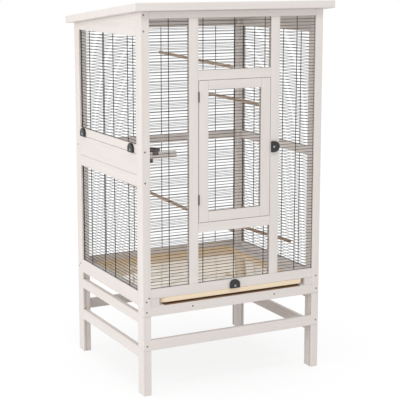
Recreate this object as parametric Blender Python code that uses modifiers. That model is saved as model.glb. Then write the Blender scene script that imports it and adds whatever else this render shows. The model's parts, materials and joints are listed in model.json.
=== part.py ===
"""A tall wooden bird cage on legs, built from grooved posts, rails, welded wire panels and moving parts.

Metres, +Z up, +Y to the back, the origin on the floor under the middle of the roof.
"""

import math

import bmesh
import bpy
from mathutils import Matrix, Vector

# Cage body and roof
BODY_WIDTH = 0.800
BODY_DEPTH = 0.680
FRONT_HEIGHT = 1.490
ROOF_FALL = 0.100
ROOF_THICKNESS = 0.030
ROOF_SIDE_OVERHANG = 0.037
ROOF_FRONT_OVERHANG = 0.030
ROOF_BACK_OVERHANG = 0.002

# Timber sections
POST_WIDTH = 0.033
POST_DEPTH = 0.052
RAIL_THICKNESS = 0.020
EDGE_CHAMFER = 0.0012
ROOF_CHAMFER = 0.002

# Groove that the wire panels slide into
GROOVE_SETBACK = 0.007
GROOVE_WIDTH = 0.008
GROOVE_DEPTH = 0.006
PANEL_SEAT = 0.0045

# Clearances
JOINT_GAP = 0.0003
SLIDE_GAP = 0.0015
DOOR_GAP = 0.002
HINGE_SEAM = 0.003
TURN_GAP = 0.0005
CUT_OVERRUN = 0.010

# Heights of the front frame
FRONT_TOP_RAIL_HEIGHT = 0.027
ABOVE_DOOR_HEIGHT = 0.199
HEADER_HEIGHT = 0.038
SILL_TOP = 0.668
SILL_HEIGHT = 0.038
BOTTOM_RAIL_TOP = 0.427
BOTTOM_RAIL_HEIGHT = 0.038
LOWER_RAIL_TOP = 0.357
LOWER_RAIL_HEIGHT = 0.038
FRONT_STRETCHER_BOTTOM = 0.182
FRONT_STRETCHER_HEIGHT = 0.041

# Door opening and its frame stiles
DOOR_OPENING_HALF = 0.161
FRAME_STILE_WIDTH = 0.039

# Heights of the side and back walls
TOP_BOARD_HEIGHT = 0.0935
SIDE_RAIL_BOTTOM = 0.357
SIDE_RAIL_HEIGHT = 0.055
MID_RAIL_BOTTOM = 0.890
MID_RAIL_HEIGHT = 0.035
HATCH_LOWER_RAIL_BOTTOM = 0.825
HATCH_LOWER_RAIL_HEIGHT = 0.045
HATCH_BOARD_HEIGHT = 0.0815
HATCH_TOP_GAP = 0.0015
HATCH_BOTTOM_GAP = 0.001
HATCH_UPPER_RAIL_HEIGHT = 0.0325
UPPER_STRETCHER_BOTTOM = 0.286
UPPER_STRETCHER_HEIGHT = 0.039
LOWER_STRETCHER_BOTTOM = 0.147
LOWER_STRETCHER_HEIGHT = 0.043

# Hatch board and the feeding bar behind it
HATCH_END_GAP = 0.001
FEEDING_BAR_LENGTH = 0.203
FEEDING_BAR_HEIGHT = 0.025
FEEDING_BAR_THICKNESS = 0.015
FEEDING_BAR_Y = -0.160
FEEDING_BAR_ABOVE_EDGE = 0.038

# Door leaf
DOOR_STILE_WIDTH = 0.041
DOOR_TOP_RAIL_HEIGHT = 0.036
DOOR_BOTTOM_RAIL_HEIGHT = 0.041

# Door hinges
HINGE_LENGTH = 0.040
HINGE_FROM_TOP = 0.042
HINGE_FROM_BOTTOM = 0.070
HINGE_LEAF_THICKNESS = 0.0008
HINGE_LEAF_DEPTH = 0.014
HINGE_BARREL_RADIUS = 0.0022
HINGE_PIN_RADIUS = 0.0010
HINGE_KNUCKLE = 0.013

# Turn latches
LATCH_THICKNESS = 0.010
LATCH_RADIUS = 0.022
LATCH_REACH = 0.026
LATCH_BACK = 0.010
LATCH_EDGE = 0.0012
LATCH_SCREW_RADIUS = 0.002
LATCH_SCREW_DEPTH = 0.012
LATCH_CLEAR = 0.004
TRAY_LATCH_CLEAR = 0.001
HATCH_LATCH_CLEAR = 0.0008
DOOR_LATCH_HEIGHT = 0.9485
HATCH_LATCH_FROM_END = 0.042

# Wire panels
WIRE_PITCH = 0.0125
CROSS_WIRE = 0.0020
EDGE_WIRE = 0.0030
UPRIGHT_WIRE = 0.0030
FRONT_UPRIGHT_PITCH = 0.137
BACK_UPRIGHT_PITCH = 0.135
SIDE_UPRIGHT_INNER = 0.052
SIDE_UPRIGHT_OUTER = 0.192

# Tray and the bed that it slides on
TRAY_HEIGHT = 0.021
TRAY_WALL = 0.0025
TRAY_FLOOR = 0.0030
TRAY_FRONT_RADIUS = 0.030
TRAY_BACK_RADIUS = 0.015
TRAY_FRONT_SETBACK = 0.001
TRAY_BACK_GAP = 0.003
BED_CHEEK_WIDTH = 0.036
BED_LEDGE = 0.020
BED_LEDGE_HEIGHT = 0.0094
BED_BASE_THICKNESS = 0.003
BED_SETBACK = 0.002

# Perches
PERCH_RADIUS = 0.0065
HIGH_PERCH_X = -0.008
HIGH_PERCH_ABOVE_HEADER = 0.0068
HIGH_PERCH_RISE = 0.017
MIDDLE_PERCH_X = 0.183
MIDDLE_PERCH_BELOW_ROOF = 0.387
MIDDLE_PERCH_RISE = 0.0045
LOW_PERCH_FRONT_X = 0.006
LOW_PERCH_BACK_X = -0.206
LOW_PERCH_BELOW_SILL = 0.012
LOW_PERCH_RISE = 0.127
CORNER_PERCH_BACK_X = 0.315
CORNER_PERCH_BACK_HEIGHT = 0.5025
CORNER_PERCH_SIDE_Y = -0.177
CORNER_PERCH_SIDE_HEIGHT = 0.499

# Round shapes
HALF_ROUND_STEPS = 12
CORNER_STEPS = 5
PIN_SIDES = 12
PERCH_SIDES = 16

# Derived places
LEFT = -BODY_WIDTH / 2
RIGHT = BODY_WIDTH / 2
ROOF_DEPTH = BODY_DEPTH + ROOF_FRONT_OVERHANG + ROOF_BACK_OVERHANG
FRONT = -ROOF_DEPTH / 2 + ROOF_FRONT_OVERHANG
BACK = FRONT + BODY_DEPTH
POST_INNER_X = BODY_WIDTH / 2 - POST_WIDTH
FRONT_POST_BACK = FRONT + POST_DEPTH
BACK_POST_FRONT = BACK - POST_DEPTH
MIDDLE_Y = (FRONT + BACK) / 2
FRONT_TOP_RAIL_BOTTOM = FRONT_HEIGHT - FRONT_TOP_RAIL_HEIGHT
WINDOW_TOP = FRONT_HEIGHT - TOP_BOARD_HEIGHT
HEADER_TOP = FRONT_TOP_RAIL_BOTTOM - ABOVE_DOOR_HEIGHT
HEADER_BOTTOM = HEADER_TOP - HEADER_HEIGHT
SILL_BOTTOM = SILL_TOP - SILL_HEIGHT
SLOT_TOP = BOTTOM_RAIL_TOP - BOTTOM_RAIL_HEIGHT
SLOT_BOTTOM = LOWER_RAIL_TOP
FRAME_STILE_OUTER = DOOR_OPENING_HALF + FRAME_STILE_WIDTH
SIDE_WINDOW_BOTTOM = SIDE_RAIL_BOTTOM + SIDE_RAIL_HEIGHT
MID_RAIL_TOP = MID_RAIL_BOTTOM + MID_RAIL_HEIGHT
HATCH_BOTTOM = HATCH_LOWER_RAIL_BOTTOM + HATCH_LOWER_RAIL_HEIGHT + HATCH_BOTTOM_GAP
HATCH_TOP = HATCH_BOTTOM + HATCH_BOARD_HEIGHT
HATCH_UPPER_RAIL_BOTTOM = HATCH_TOP + HATCH_TOP_GAP
HATCH_UPPER_RAIL_TOP = HATCH_UPPER_RAIL_BOTTOM + HATCH_UPPER_RAIL_HEIGHT
DOOR_LEFT = -DOOR_OPENING_HALF + HINGE_SEAM
DOOR_RIGHT = DOOR_OPENING_HALF - DOOR_GAP
DOOR_BOTTOM = SILL_TOP + DOOR_GAP
DOOR_TOP = HEADER_BOTTOM - DOOR_GAP
DOOR_AXIS = Vector(
    (-DOOR_OPENING_HALF + HINGE_SEAM / 2, FRONT - HINGE_BARREL_RADIUS - JOINT_GAP, DOOR_BOTTOM)
)
TRAY_BOTTOM = SLOT_BOTTOM + JOINT_GAP + BED_LEDGE_HEIGHT + JOINT_GAP
TRAY_BACK = BACK - RAIL_THICKNESS - TRAY_BACK_GAP
CHEEK_INNER_X = POST_INNER_X - BED_CHEEK_WIDTH
TRAY_WIDTH = 2 * (CHEEK_INNER_X - SLIDE_GAP)
CROSS_DEPTH = GROOVE_SETBACK + JOINT_GAP + UPRIGHT_WIRE + JOINT_GAP + CROSS_WIRE / 2
INNER_FACE_DEPTH = RAIL_THICKNESS + JOINT_GAP
MESH_FACE_DEPTH = CROSS_DEPTH + CROSS_WIRE / 2 + JOINT_GAP

# Collections
MODEL_NAME = "bird_cage"
CUTTERS_NAME = "bird_cage_cutters"

# Base colour, roughness and metallic value of each finish
FINISHES = {
    "white_wood": ((0.80, 0.76, 0.71, 1.0), 0.60, 0.0),
    "roof_wood": ((0.82, 0.78, 0.73, 1.0), 0.60, 0.0),
    "wire": ((0.02, 0.02, 0.02, 1.0), 0.35, 0.4),
    "latch": ((0.02, 0.02, 0.02, 1.0), 0.40, 0.0),
    "hinge": ((0.35, 0.33, 0.30, 1.0), 0.35, 1.0),
    "tray": ((0.84, 0.72, 0.52, 1.0), 0.25, 0.0),
    "bed": ((0.36, 0.24, 0.15, 1.0), 0.70, 0.0),
    "perch": ((0.58, 0.40, 0.27, 1.0), 0.65, 0.0),
}


def clear_scene():
    for old in list(bpy.data.objects):
        bpy.data.objects.remove(old, do_unlink=True)
    for name in (MODEL_NAME, CUTTERS_NAME):
        group = bpy.data.collections.new(name)
        bpy.context.scene.collection.children.link(group)


def finish_of(node, finish):
    """Gives a node its own Principled material in the named finish."""
    colour, roughness, metallic = FINISHES[finish]
    material = bpy.data.materials.new(node.name + "_" + finish)
    material.use_nodes = True
    shader = material.node_tree.nodes["Principled BSDF"]
    shader.inputs["Base Color"].default_value = colour
    shader.inputs["Roughness"].default_value = roughness
    shader.inputs["Metallic"].default_value = metallic
    node.data.materials.clear()
    node.data.materials.append(material)


def link_model(node, finish):
    bpy.data.collections[MODEL_NAME].objects.link(node)
    finish_of(node, finish)
    return node


def link_cutter(cutter):
    bpy.data.collections[CUTTERS_NAME].objects.link(cutter)
    cutter.hide_render = True
    cutter.display_type = "WIRE"
    return cutter


def box_object(name, low, high):
    """A box between two corners, with its origin at its centre."""
    low, high = Vector(low), Vector(high)
    mesh = bpy.data.meshes.new(name)
    shape = bmesh.new()
    bmesh.ops.create_cube(shape, size=1.0, matrix=Matrix.Diagonal((*(high - low), 1.0)))
    shape.to_mesh(mesh)
    shape.free()
    node = bpy.data.objects.new(name, mesh)
    node.location = (low + high) / 2
    return node


def soften(node, width):
    """Takes the sharp edges off with one small chamfer."""
    bevel = node.modifiers.new("edges", "BEVEL")
    bevel.width = width
    bevel.segments = 1
    bevel.limit_method = "ANGLE"
    bevel.angle_limit = math.radians(40)


def timber(name, low, high, finish="white_wood"):
    node = link_model(box_object(name, low, high), finish)
    soften(node, EDGE_CHAMFER)
    return node


def roof_underside(y):
    """Height of the sloping roof's underside at a depth."""
    return FRONT_HEIGHT - ROOF_FALL * (y - FRONT)


def timber_to_roof(name, low, high):
    """A timber whose top face is sawn to the slope of the roof."""
    node = timber(name, low, (*high, roof_underside(FRONT)))
    for vertex in node.data.vertices:
        if vertex.co.z > 0:
            y = node.location.y + vertex.co.y
            vertex.co.z = roof_underside(y) - JOINT_GAP - node.location.z
    return node


def boolean(node, other, operation):
    modifier = node.modifiers.new(other.name, "BOOLEAN")
    modifier.operation = operation
    modifier.object = other
    modifier.solver = "EXACT"


def cut_box(nodes, name, low, high):
    cutter = link_cutter(box_object(name, low, high))
    for node in nodes:
        boolean(node, cutter, "DIFFERENCE")


def rod(name, start, end, radius, sides):
    """A round rod between two points, with its origin at its middle."""
    start, end = Vector(start), Vector(end)
    mesh = bpy.data.meshes.new(name)
    shape = bmesh.new()
    bmesh.ops.create_cone(
        shape,
        cap_ends=True,
        segments=sides,
        radius1=radius,
        radius2=radius,
        depth=(end - start).length,
    )
    shape.to_mesh(mesh)
    shape.free()
    mesh.shade_smooth()
    mesh.set_sharp_from_angle(angle=math.radians(40))
    node = bpy.data.objects.new(name, mesh)
    turn = Vector((0, 0, 1)).rotation_difference(end - start).to_matrix().to_4x4()
    node.matrix_world = Matrix.Translation((start + end) / 2) @ turn
    return node


def flat_shape(name, outlines, thickness, place):
    """A flat outline with holes, extruded to a thickness about its own plane, and put in its place."""
    curve = bpy.data.curves.new(name, "CURVE")
    curve.dimensions = "2D"
    curve.fill_mode = "BOTH"
    curve.extrude = thickness / 2
    for outline in outlines:
        spline = curve.splines.new("POLY")
        spline.points.add(len(outline) - 1)
        for point, (u, v) in zip(spline.points, outline):
            point.co = (u, v, 0.0, 1.0)
        spline.use_cyclic_u = True
    drawn = bpy.data.objects.new(name + "_outline", curve)
    bpy.context.scene.collection.objects.link(drawn)
    ready = drawn.evaluated_get(bpy.context.evaluated_depsgraph_get())
    mesh = bpy.data.meshes.new_from_object(ready)
    mesh.name = name
    shape = bmesh.new()
    shape.from_mesh(mesh)
    bmesh.ops.remove_doubles(shape, verts=shape.verts, dist=0.00001)
    shape.to_mesh(mesh)
    shape.free()
    mesh.shade_smooth()
    mesh.set_sharp_from_angle(angle=math.radians(40))
    bpy.data.objects.remove(drawn, do_unlink=True)
    bpy.data.curves.remove(curve)
    node = bpy.data.objects.new(name, mesh)
    node.matrix_world = place
    return node


def arc(centre, radius, start, end, steps):
    """Points along an arc, angles in degrees."""
    points = []
    for step in range(steps + 1):
        angle = math.radians(start + (end - start) * step / steps)
        points.append((centre[0] + radius * math.cos(angle), centre[1] + radius * math.sin(angle)))
    return points


def wall_place(wall, depth):
    """Places a drawing of (along the wall, height) at a depth behind a wall's outer face."""
    if wall in ("front", "back"):
        y = FRONT + depth if wall == "front" else BACK - depth
        turn = Matrix(((1, 0, 0), (0, 0, -1), (0, 1, 0))).to_4x4()
        return Matrix.Translation((0, y, 0)) @ turn
    x = LEFT + depth if wall == "left" else RIGHT - depth
    turn = Matrix(((0, 0, 1), (1, 0, 0), (0, 1, 0))).to_4x4()
    return Matrix.Translation((x, 0, 0)) @ turn


def wall_box(wall, u0, u1, depth0, depth1, v0, v1):
    """Corners of a box given along a wall, from its outer face inwards and in height."""
    if wall in ("front", "back"):
        ys = (FRONT + depth0, FRONT + depth1) if wall == "front" else (BACK - depth1, BACK - depth0)
        return (u0, ys[0], v0), (u1, ys[1], v1)
    xs = (LEFT + depth0, LEFT + depth1) if wall == "left" else (RIGHT - depth1, RIGHT - depth0)
    return (xs[0], u0, v0), (xs[1], u1, v1)


def upright_outline(v0, v1):
    """A long staple: an upright wire whose two ends turn inwards to reach the cross wires."""
    outer = GROOVE_SETBACK + JOINT_GAP
    inner = outer + UPRIGHT_WIRE
    tip = CROSS_DEPTH
    low, high = v0 - PANEL_SEAT + CROSS_WIRE / 2, v1 + PANEL_SEAT - CROSS_WIRE / 2
    foot = (PANEL_SEAT - CROSS_WIRE) * 0.8
    return [
        (outer, low),
        (tip, low),
        (tip, low + foot),
        (inner, low + foot),
        (inner, high - foot),
        (tip, high - foot),
        (tip, high),
        (outer, high),
    ]


def upright_place(wall, u):
    """Places a drawing of (depth behind the outer face, height) on a wall at a place along it."""
    if wall == "front":
        return Matrix.Translation((u, FRONT, 0)) @ Matrix(((0, 0, 1), (1, 0, 0), (0, 1, 0))).to_4x4()
    if wall == "back":
        return Matrix.Translation((u, BACK, 0)) @ Matrix(((0, 0, -1), (-1, 0, 0), (0, 1, 0))).to_4x4()
    if wall == "left":
        return Matrix.Translation((LEFT, u, 0)) @ Matrix(((1, 0, 0), (0, 0, -1), (0, 1, 0))).to_4x4()
    return Matrix.Translation((RIGHT, u, 0)) @ Matrix(((-1, 0, 0), (0, 0, 1), (0, 1, 0))).to_4x4()


def wire_panel(name, wall, opening, uprights):
    """A welded panel: closely spaced cross wires between two edge wires, with a few uprights outside."""
    u0, u1, v0, v1 = opening
    count = round((v1 - v0) / WIRE_PITCH)
    pitch = (v1 - v0) / count
    depths = (CROSS_DEPTH - CROSS_WIRE / 2, CROSS_DEPTH + CROSS_WIRE / 2)
    sheet = (u0 - PANEL_SEAT, u1 + PANEL_SEAT, *depths, v0 - PANEL_SEAT, v1 + PANEL_SEAT)
    panel = link_model(box_object(name, *wall_box(wall, *sheet)), "wire")
    edge = EDGE_WIRE - PANEL_SEAT
    depths = (depths[0] - CUT_OVERRUN, depths[1] + CUT_OVERRUN)
    heights = (v0 + CROSS_WIRE / 2, v0 + pitch - CROSS_WIRE / 2)
    gaps = box_object(name + "_gaps", *wall_box(wall, u0 - edge, u1 + edge, *depths, *heights))
    repeat = gaps.modifiers.new("gaps", "ARRAY")
    repeat.count = count
    repeat.use_relative_offset = False
    repeat.use_constant_offset = True
    repeat.constant_offset_displace = (0.0, 0.0, pitch)
    boolean(panel, link_cutter(gaps), "DIFFERENCE")
    for number, u in enumerate(uprights):
        staple = flat_shape(
            f"{name}_upright_{number + 1}",
            [upright_outline(v0, v1)],
            UPRIGHT_WIRE,
            upright_place(wall, u),
        )
        boolean(panel, link_cutter(staple), "UNION")
    return panel


def panel_groove(nodes, name, wall, opening):
    """Grooves the timbers round an opening, so that a panel's edges slide in."""
    u0, u1, v0, v1 = opening
    low, high = wall_box(
        wall,
        u0 - GROOVE_DEPTH,
        u1 + GROOVE_DEPTH,
        GROOVE_SETBACK,
        GROOVE_SETBACK + GROOVE_WIDTH,
        v0 - GROOVE_DEPTH,
        v1 + GROOVE_DEPTH,
    )
    cut_box(nodes, name, low, high)


def build_posts():
    """Four posts, grooved from end to end on the two faces that look along the walls."""
    posts = {}
    for side, x0 in (("left", LEFT), ("right", RIGHT - POST_WIDTH)):
        for end, y0 in (("front", FRONT), ("back", BACK - POST_DEPTH)):
            name = f"post_{end}_{side}"
            high = (x0 + POST_WIDTH, y0 + POST_DEPTH)
            posts[end, side] = timber_to_roof(name, (x0, y0, 0), high)
    span = (-CUT_OVERRUN, FRONT_HEIGHT + CUT_OVERRUN)
    for end, wall in (("front", "front"), ("back", "back")):
        inner = POST_INNER_X + GROOVE_DEPTH
        depth = (GROOVE_SETBACK, GROOVE_SETBACK + GROOVE_WIDTH)
        low, high = wall_box(wall, -inner, inner, *depth, *span)
        cut_box([posts[end, "left"], posts[end, "right"]], f"{end}_post_groove", low, high)
    for side in ("left", "right"):
        ends = (FRONT_POST_BACK - GROOVE_DEPTH, BACK_POST_FRONT + GROOVE_DEPTH)
        depth = (GROOVE_SETBACK, GROOVE_SETBACK + GROOVE_WIDTH)
        low, high = wall_box(side, *ends, *depth, *span)
        cut_box([posts["front", side], posts["back", side]], f"{side}_post_groove", low, high)
    return posts


def build_roof():
    low = (LEFT - ROOF_SIDE_OVERHANG, FRONT - ROOF_FRONT_OVERHANG, 0)
    high = (RIGHT + ROOF_SIDE_OVERHANG, BACK + ROOF_BACK_OVERHANG, ROOF_THICKNESS)
    roof = link_model(box_object("roof_board", low, high), "roof_wood")
    roof.location.z = roof_underside(roof.location.y) + ROOF_THICKNESS / 2
    for vertex in roof.data.vertices:
        vertex.co.z -= ROOF_FALL * vertex.co.y
    soften(roof, ROOF_CHAMFER)


def build_front(posts):
    """The front frame: rails, two stiles, the door's header and sill, and the rails of the stand."""
    span = POST_INNER_X - JOINT_GAP
    back = FRONT + RAIL_THICKNESS
    top = timber_to_roof("front_top_rail", (-span, FRONT, FRONT_TOP_RAIL_BOTTOM), (span, back))
    bottom = timber("front_bottom_rail", (-span, FRONT, SLOT_TOP), (span, back, BOTTOM_RAIL_TOP))
    stiles = {}
    for side, sign in (("left", -1), ("right", 1)):
        xs = sorted((sign * DOOR_OPENING_HALF, sign * FRAME_STILE_OUTER))
        stiles[side] = timber(
            f"front_stile_{side}",
            (xs[0], FRONT, BOTTOM_RAIL_TOP + JOINT_GAP),
            (xs[1], back, FRONT_TOP_RAIL_BOTTOM - JOINT_GAP),
        )
    reach = DOOR_OPENING_HALF - JOINT_GAP
    header = timber("door_header", (-reach, FRONT, HEADER_BOTTOM), (reach, back, HEADER_TOP))
    sill = timber("door_sill", (-reach, FRONT, SILL_BOTTOM), (reach, back, SILL_TOP))

    bay = (FRAME_STILE_OUTER, POST_INNER_X, BOTTOM_RAIL_TOP, FRONT_TOP_RAIL_BOTTOM)
    middle = (bay[0] + bay[1]) / 2
    left_bay = (-bay[1], -bay[0], bay[2], bay[3])
    above = (-DOOR_OPENING_HALF, DOOR_OPENING_HALF, HEADER_TOP, FRONT_TOP_RAIL_BOTTOM)
    below = (-DOOR_OPENING_HALF, DOOR_OPENING_HALF, BOTTOM_RAIL_TOP, SILL_BOTTOM)
    three = (-FRONT_UPRIGHT_PITCH, 0.0, FRONT_UPRIGHT_PITCH)
    panel_groove([top, bottom, stiles["left"]], "left_bay_groove", "front", left_bay)
    panel_groove([top, bottom, stiles["right"]], "right_bay_groove", "front", bay)
    panel_groove([top, header, *stiles.values()], "above_door_groove", "front", above)
    panel_groove([bottom, sill, *stiles.values()], "below_door_groove", "front", below)
    wire_panel("front_left_grille", "front", left_bay, [-middle])
    wire_panel("front_right_grille", "front", bay, [middle])
    wire_panel("above_door_grille", "front", above, three)
    wire_panel("below_door_grille", "front", below, three)

    rails = (
        ("front_lower_rail", LOWER_RAIL_TOP - LOWER_RAIL_HEIGHT, LOWER_RAIL_HEIGHT),
        ("front_stretcher", FRONT_STRETCHER_BOTTOM, FRONT_STRETCHER_HEIGHT),
    )
    for name, low, height in rails:
        timber(name, (LEFT, FRONT, low), (RIGHT, back, low + height))
        cut_box(
            [posts["front", "left"], posts["front", "right"]],
            name + "_notch",
            (LEFT - CUT_OVERRUN, FRONT - CUT_OVERRUN, low - JOINT_GAP),
            (RIGHT + CUT_OVERRUN, back + JOINT_GAP, low + height + JOINT_GAP),
        )
    return stiles, bottom


def build_side(wall):
    """One side wall without its middle: top board, bottom rail and the two stretchers of the stand."""
    ends = (FRONT_POST_BACK + JOINT_GAP, BACK_POST_FRONT - JOINT_GAP)
    low, high = wall_box(wall, *ends, 0, RAIL_THICKNESS, WINDOW_TOP, FRONT_HEIGHT)
    top = timber_to_roof(f"{wall}_top_board", low, high[:2])
    pieces = {
        "bottom_rail": (SIDE_RAIL_BOTTOM, SIDE_RAIL_HEIGHT),
        "upper_stretcher": (UPPER_STRETCHER_BOTTOM, UPPER_STRETCHER_HEIGHT),
        "lower_stretcher": (LOWER_STRETCHER_BOTTOM, LOWER_STRETCHER_HEIGHT),
    }
    made = {}
    for name, (base, height) in pieces.items():
        corners = wall_box(wall, *ends, 0, RAIL_THICKNESS, base, base + height)
        made[name] = timber(f"{wall}_{name}", *corners)
    return top, made["bottom_rail"]


def side_uprights():
    offsets = (-SIDE_UPRIGHT_OUTER, -SIDE_UPRIGHT_INNER, SIDE_UPRIGHT_INNER, SIDE_UPRIGHT_OUTER)
    return [MIDDLE_Y + offset for offset in offsets]


def build_walls():
    """The left wall with its hatch rails, the right wall and the back wall."""
    ends = (FRONT_POST_BACK, BACK_POST_FRONT)
    inset = (ends[0] + JOINT_GAP, ends[1] - JOINT_GAP)

    top, bottom = build_side("left")
    heights = (HATCH_LOWER_RAIL_BOTTOM, HATCH_LOWER_RAIL_BOTTOM + HATCH_LOWER_RAIL_HEIGHT)
    lower = timber("hatch_lower_rail", *wall_box("left", *inset, 0, RAIL_THICKNESS, *heights))
    heights = (HATCH_UPPER_RAIL_BOTTOM, HATCH_UPPER_RAIL_TOP)
    upper = timber("hatch_upper_rail", *wall_box("left", *inset, 0, RAIL_THICKNESS, *heights))
    high_window = (*ends, HATCH_UPPER_RAIL_TOP, WINDOW_TOP)
    low_window = (*ends, SIDE_WINDOW_BOTTOM, HATCH_LOWER_RAIL_BOTTOM)
    panel_groove([top, upper], "left_upper_groove", "left", high_window)
    panel_groove([lower, bottom], "left_lower_groove", "left", low_window)
    wire_panel("left_upper_grille", "left", high_window, side_uprights())
    wire_panel("left_lower_grille", "left", low_window, side_uprights())

    high_window = (*ends, MID_RAIL_TOP, WINDOW_TOP)
    low_window = (*ends, SIDE_WINDOW_BOTTOM, MID_RAIL_BOTTOM)
    heights = (MID_RAIL_BOTTOM, MID_RAIL_TOP)
    top, bottom = build_side("right")
    middle = timber("right_mid_rail", *wall_box("right", *inset, 0, RAIL_THICKNESS, *heights))
    panel_groove([top, middle], "right_upper_groove", "right", high_window)
    panel_groove([middle, bottom], "right_lower_groove", "right", low_window)
    wire_panel("right_upper_grille", "right", high_window, side_uprights())
    wire_panel("right_lower_grille", "right", low_window, side_uprights())

    ends = (-POST_INNER_X, POST_INNER_X)
    inset = (ends[0] + JOINT_GAP, ends[1] - JOINT_GAP)
    low, high = wall_box("back", *inset, 0, RAIL_THICKNESS, WINDOW_TOP, FRONT_HEIGHT)
    top = timber_to_roof("back_top_rail", low, high[:2])
    middle = timber("back_mid_rail", *wall_box("back", *inset, 0, RAIL_THICKNESS, *heights))
    heights = (SIDE_RAIL_BOTTOM, SIDE_WINDOW_BOTTOM)
    bottom = timber("back_bottom_rail", *wall_box("back", *inset, 0, RAIL_THICKNESS, *heights))
    heights = (FRONT_STRETCHER_BOTTOM, FRONT_STRETCHER_BOTTOM + FRONT_STRETCHER_HEIGHT)
    timber("back_stretcher", *wall_box("back", *inset, 0, RAIL_THICKNESS, *heights))
    high_window = (*ends, MID_RAIL_TOP, WINDOW_TOP)
    low_window = (*ends, SIDE_WINDOW_BOTTOM, MID_RAIL_BOTTOM)
    uprights = [step * BACK_UPRIGHT_PITCH for step in range(-2, 3)]
    panel_groove([top, middle], "back_upper_groove", "back", high_window)
    panel_groove([middle, bottom], "back_lower_groove", "back", low_window)
    wire_panel("back_upper_grille", "back", high_window, uprights)
    wire_panel("back_lower_grille", "back", low_window, uprights)
    return upper


def empty_at(name, place):
    empty = bpy.data.objects.new(name, None)
    empty.location = place
    bpy.data.collections[MODEL_NAME].objects.link(empty)
    return empty


def hang_on(empty, nodes):
    """Parents nodes that stand in world places to an empty on their joint's axis."""
    for node in nodes:
        node.parent = empty
        node.location = node.location - empty.location


def build_hinge(name, low):
    """A small pin hinge in the door's seam: a fixed leaf with the pin, and a leaf on the door."""
    high = low + HINGE_LENGTH
    axis = (DOOR_AXIS.x, DOOR_AXIS.y)
    back = FRONT + HINGE_LEAF_DEPTH
    fixed_x = -DOOR_OPENING_HALF + JOINT_GAP
    door_x = DOOR_LEFT - JOINT_GAP
    frame_leaf = box_object(
        f"{name}_hinge_frame_leaf",
        (fixed_x, axis[1], low),
        (fixed_x + HINGE_LEAF_THICKNESS, back, high),
    )
    door_leaf = box_object(
        f"{name}_hinge_door_leaf",
        (door_x - HINGE_LEAF_THICKNESS, axis[1], low),
        (door_x, back, high),
    )
    link_model(frame_leaf, "hinge")
    link_model(door_leaf, "hinge")
    knuckle_low, knuckle_high = low + HINGE_KNUCKLE, high - HINGE_KNUCKLE
    clear = HINGE_BARREL_RADIUS + JOINT_GAP
    lane = HINGE_SEAM / 2 - JOINT_GAP - HINGE_LEAF_THICKNESS

    # The middle knuckle belongs to the door, the two outer ones and the pin to the frame
    cut_box(
        [frame_leaf],
        f"{name}_hinge_frame_gap",
        (axis[0] - clear, axis[1] - clear, knuckle_low - JOINT_GAP),
        (axis[0] + clear, FRONT, knuckle_high + JOINT_GAP),
    )
    for part, z0, z1 in (("low", low, knuckle_low), ("high", knuckle_high, high)):
        cut_box(
            [door_leaf],
            f"{name}_hinge_door_gap_{part}",
            (axis[0] - clear, axis[1] - clear, z0 - (CUT_OVERRUN if part == "low" else JOINT_GAP)),
            (axis[0] + clear, FRONT, z1 + (JOINT_GAP if part == "low" else CUT_OVERRUN)),
        )
        barrel = rod(
            f"{name}_hinge_barrel_{part}",
            (*axis, z0),
            (*axis, z1),
            HINGE_BARREL_RADIUS,
            PIN_SIDES,
        )
        boolean(frame_leaf, link_cutter(barrel), "UNION")
    pin = rod(
        f"{name}_hinge_pin",
        (*axis, low + lane),
        (*axis, high - lane),
        HINGE_PIN_RADIUS,
        PIN_SIDES,
    )
    boolean(frame_leaf, link_cutter(pin), "UNION")
    barrel = rod(
        f"{name}_hinge_barrel_door",
        (*axis, knuckle_low),
        (*axis, knuckle_high),
        HINGE_BARREL_RADIUS,
        PIN_SIDES,
    )
    bore = rod(
        f"{name}_hinge_bore",
        (*axis, low - CUT_OVERRUN),
        (*axis, high + CUT_OVERRUN),
        HINGE_PIN_RADIUS + JOINT_GAP,
        PIN_SIDES,
    )
    boolean(door_leaf, link_cutter(barrel), "UNION")
    boolean(door_leaf, link_cutter(bore), "DIFFERENCE")
    return door_leaf


def build_door():
    """The door leaf in the front opening, hung on two small hinges at its left edge."""
    back = FRONT + RAIL_THICKNESS
    rail_ends = (DOOR_LEFT + DOOR_STILE_WIDTH, DOOR_RIGHT - DOOR_STILE_WIDTH)
    window_low = DOOR_BOTTOM + DOOR_BOTTOM_RAIL_HEIGHT
    window_high = DOOR_TOP - DOOR_TOP_RAIL_HEIGHT
    hinge_stile = timber(
        "door_stile_hinge_side",
        (DOOR_LEFT, FRONT, DOOR_BOTTOM),
        (rail_ends[0], back, DOOR_TOP),
    )
    latch_stile = timber(
        "door_stile_latch_side",
        (rail_ends[1], FRONT, DOOR_BOTTOM),
        (DOOR_RIGHT, back, DOOR_TOP),
    )
    inset = (rail_ends[0] + JOINT_GAP, rail_ends[1] - JOINT_GAP)
    top = timber("door_top_rail", (inset[0], FRONT, window_high), (inset[1], back, DOOR_TOP))
    bottom = timber(
        "door_bottom_rail",
        (inset[0], FRONT, DOOR_BOTTOM),
        (inset[1], back, window_low),
    )
    window = (*rail_ends, window_low, window_high)
    frame = [hinge_stile, latch_stile, top, bottom]
    panel_groove(frame, "door_groove", "front", window)
    grille = wire_panel("door_grille", "front", window, [sum(rail_ends) / 2])
    leaves = [
        build_hinge("upper", DOOR_TOP - HINGE_FROM_TOP - HINGE_LENGTH),
        build_hinge("lower", DOOR_BOTTOM + HINGE_FROM_BOTTOM),
    ]
    hang_on(empty_at("door_axis", DOOR_AXIS), [*frame, grille, *leaves])


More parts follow.
